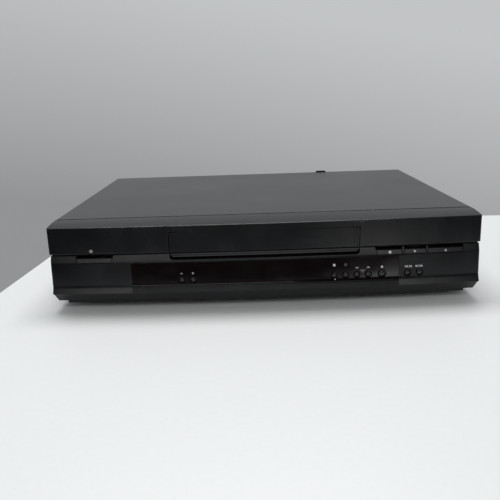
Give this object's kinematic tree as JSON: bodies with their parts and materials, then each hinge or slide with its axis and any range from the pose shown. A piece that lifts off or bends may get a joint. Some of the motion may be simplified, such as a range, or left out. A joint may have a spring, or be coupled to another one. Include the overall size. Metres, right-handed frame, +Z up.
{
  "type": "video cassette recorder",
  "caption": "Full-width front loading video cassette recorder with a drop-down cassette cage, tape deck, waist keys, display window and rear sockets.",
  "frame": {"origin": "on the table under the middle of the whole recorder, sockets and screw tab included", "axes": "+X to the right seen from the front, +Y from the front to the back, +Z up"},
  "size_m": [0.432, 0.2944, 0.089],
  "materials": {
    "cover_paint": "fine textured dark grey paint",
    "panel_plastic": "satin black moulded plastic",
    "window_plastic": "glossy smoked black plastic",
    "button_plastic": "satin black moulded plastic",
    "display_glass": "dark glass envelope",
    "board_resin": "tan paper laminate circuit board",
    "foot_rubber": "matt black rubber",
    "chassis_steel": "zinc plated sheet steel",
    "spring_steel": "bright spring wire",
    "machined_metal": "turned bright aluminium",
    "brass_metal": "turned brass",
    "deck_plastic": "off-white moulded plastic"
  },
  "bodies": {
    "recorder": {"top_cover": "cover_paint", "front_panel": "panel_plastic", "door_spring": "spring_steel", "display_window": "window_plastic", "display_tube": "display_glass", "front_circuit_board": "board_resin", "bottom_plate": "chassis_steel", "rear_panel": "panel_plastic", "front_foot_left": "foot_rubber", "front_foot_right": "foot_rubber", "rear_foot_left": "foot_rubber", "rear_foot_right": "foot_rubber", "scart_socket_lower": "panel_plastic", "scart_socket_upper": "panel_plastic", "aerial_unit": "machined_metal", "phono_sockets": "button_plastic", "mains_inlet": "panel_plastic", "main_circuit_board": "board_resin", "power_supply": "board_resin", "deck_plate": "chassis_steel", "lower_drum": "machined_metal", "capstan_bush": "brass_metal", "drive_belt": "foot_rubber", "erase_head": "machined_metal", "control_head": "machined_metal", "loading_motor": "machined_metal", "carriage_bracket_left": "chassis_steel", "carriage_bracket_right": "chassis_steel"},
    "flap": {"cassette_door": "panel_plastic"},
    "tracking_down": {"tracking_down_button": "button_plastic"},
    "tracking_up": {"tracking_up_button": "button_plastic"},
    "record": {"record_button": "button_plastic"},
    "timer": {"timer_button": "button_plastic"},
    "channel_down": {"channel_down_button": "button_plastic"},
    "channel_up": {"channel_up_button": "button_plastic"},
    "timed_record": {"timed_record_button": "button_plastic"},
    "rewind": {"rewind_button": "button_plastic"},
    "fast_forward": {"fast_forward_button": "button_plastic"},
    "power": {"power_key": "button_plastic"},
    "stop": {"stop_key": "button_plastic"},
    "play": {"play_key": "button_plastic"},
    "eject": {"eject_key": "button_plastic"},
    "slider": {"carriage_slider": "chassis_steel"},
    "cage": {"cassette_holder": "chassis_steel"},
    "drum": {"head_drum": "machined_metal"},
    "capstan_shaft": {"capstan": "machined_metal"},
    "drive_wheel": {"drive_pulley": "deck_plastic"},
    "supply": {"supply_reel": "deck_plastic"},
    "take_up": {"take_up_reel": "deck_plastic"},
    "supply_guide": {"supply_guide_post": "machined_metal"},
    "take_up_guide": {"take_up_guide_post": "machined_metal"},
    "pinch_lever": {"pinch_arm": "chassis_steel"},
    "pinch_wheel": {"pinch_roller": "foot_rubber"}
  },
  "joints": [
    {"name": "flap_hinge", "type": "hinge", "parent": "recorder", "child": "flap", "pos_m": [0, -0.1331, 0.0792], "axis": [1, 0, 0], "range_deg": [0, 98], "stiffness_Nm_per_rad": 0.004, "springref_deg": -17.19},
    {"name": "tracking_down_press", "type": "slide", "parent": "recorder", "child": "tracking_down", "axis": [0, 1, 0], "range_m": [0, 0.0008], "stiffness_N_per_m": 200, "springref_m": -0.001},
    {"name": "tracking_up_press", "type": "slide", "parent": "recorder", "child": "tracking_up", "axis": [0, 1, 0], "range_m": [0, 0.0008], "stiffness_N_per_m": 200, "springref_m": -0.001},
    {"name": "record_press", "type": "slide", "parent": "recorder", "child": "record", "axis": [0, 1, 0], "range_m": [0, 0.0008], "stiffness_N_per_m": 200, "springref_m": -0.001},
    {"name": "timer_press", "type": "slide", "parent": "recorder", "child": "timer", "axis": [0, 1, 0], "range_m": [0, 0.0008], "stiffness_N_per_m": 200, "springref_m": -0.001},
    {"name": "channel_down_press", "type": "slide", "parent": "recorder", "child": "channel_down", "axis": [0, 1, 0], "range_m": [0, 0.0008], "stiffness_N_per_m": 200, "springref_m": -0.001},
    {"name": "channel_up_press", "type": "slide", "parent": "recorder", "child": "channel_up", "axis": [0, 1, 0], "range_m": [0, 0.0008], "stiffness_N_per_m": 200, "springref_m": -0.001},
    {"name": "timed_record_press", "type": "slide", "parent": "recorder", "child": "timed_record", "axis": [0, 1, 0], "range_m": [0, 0.0008], "stiffness_N_per_m": 200, "springref_m": -0.001},
    {"name": "rewind_press", "type": "slide", "parent": "recorder", "child": "rewind", "axis": [0, 1, 0], "range_m": [0, 0.0008], "stiffness_N_per_m": 200, "springref_m": -0.001},
    {"name": "fast_forward_press", "type": "slide", "parent": "recorder", "child": "fast_forward", "axis": [0, 1, 0], "range_m": [0, 0.0008], "stiffness_N_per_m": 200, "springref_m": -0.001},
    {"name": "power_press", "type": "slide", "parent": "recorder", "child": "power", "axis": [0, 1, 0], "range_m": [0, 0.0008], "stiffness_N_per_m": 250, "springref_m": -0.001},
    {"name": "stop_press", "type": "slide", "parent": "recorder", "child": "stop", "axis": [0, 1, 0], "range_m": [0, 0.0008], "stiffness_N_per_m": 250, "springref_m": -0.001},
    {"name": "play_press", "type": "slide", "parent": "recorder", "child": "play", "axis": [0, 1, 0], "range_m": [0, 0.0008], "stiffness_N_per_m": 250, "springref_m": -0.001},
    {"name": "eject_press", "type": "slide", "parent": "recorder", "child": "eject", "axis": [0, 1, 0], "range_m": [0, 0.0008], "stiffness_N_per_m": 250, "springref_m": -0.001},
    {"name": "slider_run", "type": "slide", "parent": "recorder", "child": "slider", "axis": [0, 1, 0], "range_m": [0, 0.065]},
    {"name": "cage_drop", "type": "slide", "parent": "slider", "child": "cage", "axis": [0, 0, -1], "range_m": [0, 0.021]},
    {"name": "drum_spin", "type": "hinge", "parent": "recorder", "child": "drum", "pos_m": [0, 0.06082, 0.0312], "axis": [-0.1028, 0, 0.9947], "continuous": true},
    {"name": "capstan_spin", "type": "hinge", "parent": "recorder", "child": "capstan_shaft", "pos_m": [0.052, 0.02477, 0.02], "axis": [0, 0, 1], "continuous": true},
    {"name": "drive_spin", "type": "hinge", "parent": "recorder", "child": "drive_wheel", "pos_m": [0, -0.02921, 0.02], "axis": [0, 0, 1], "continuous": true},
    {"name": "supply_spin", "type": "hinge", "parent": "recorder", "child": "supply", "pos_m": [-0.0457, -0.0432, 0.03], "axis": [0, 0, 1], "continuous": true},
    {"name": "take_up_spin", "type": "hinge", "parent": "recorder", "child": "take_up", "pos_m": [0.0457, -0.0432, 0.03], "axis": [0, 0, 1], "continuous": true},
    {"name": "take_up_guide_run", "type": "slide", "parent": "recorder", "child": "take_up_guide", "axis": [0.1533, 0.9882, 0], "range_m": [0, 0.04565]},
    {"name": "supply_guide_run", "type": "slide", "parent": "recorder", "child": "supply_guide", "axis": [-0.1533, 0.9882, 0], "range_m": [0, 0.04565]},
    {"name": "pinch_swing", "type": "hinge", "parent": "recorder", "child": "pinch_lever", "pos_m": [0.084, 0.03077, 0.031], "axis": [0, 0, 1], "range_deg": [0, 28]},
    {"name": "pinch_spin", "type": "hinge", "parent": "pinch_lever", "child": "pinch_wheel", "pos_m": [0.05981, 0.04513, 0.04], "axis": [0, 0, 1], "continuous": true}
  ],
  "couplings": [
    {"joint": "drive_spin", "follows": "capstan_spin", "ratio": 0.5},
    {"joint": "supply_guide_run", "follows": "take_up_guide_run", "ratio": 1}
  ]
}
